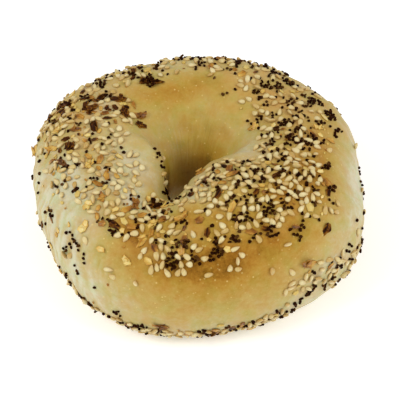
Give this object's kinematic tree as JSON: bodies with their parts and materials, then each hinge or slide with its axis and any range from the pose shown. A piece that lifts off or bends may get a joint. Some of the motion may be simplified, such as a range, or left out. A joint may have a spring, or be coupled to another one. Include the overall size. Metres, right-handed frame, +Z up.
{
  "type": "bagel",
  "caption": "Round baked bagel with a small central hole, a folded inner lip and a thick strewing of seeds and onion flakes, resting on its flat underside.",
  "frame": {"origin": "the middle of the bagel's outline seen from above, on the flat underside", "axes": "+Z up through the hole, out of the crown; -Y towards the side where the notch in the hole's edge lies; +X to the right seen from that side"},
  "size_m": [0.1138, 0.1052, 0.0533],
  "materials": {
    "crust": "boiled and baked dough skin, pale to golden brown, satin with fine blisters",
    "sesame": "hulled sesame seed, ivory to light tan, satin",
    "poppy": "poppy seed, brown-black, dull and pitted",
    "onion": "dried onion flake, gold to amber brown, waxy",
    "burnt_onion": "dried onion flake baked nearly black, satin",
    "garlic": "dried garlic granule, pale yellow, matt"
  },
  "bodies": {
    "root": {"bagel": "crust"}
  },
  "joints": []
}
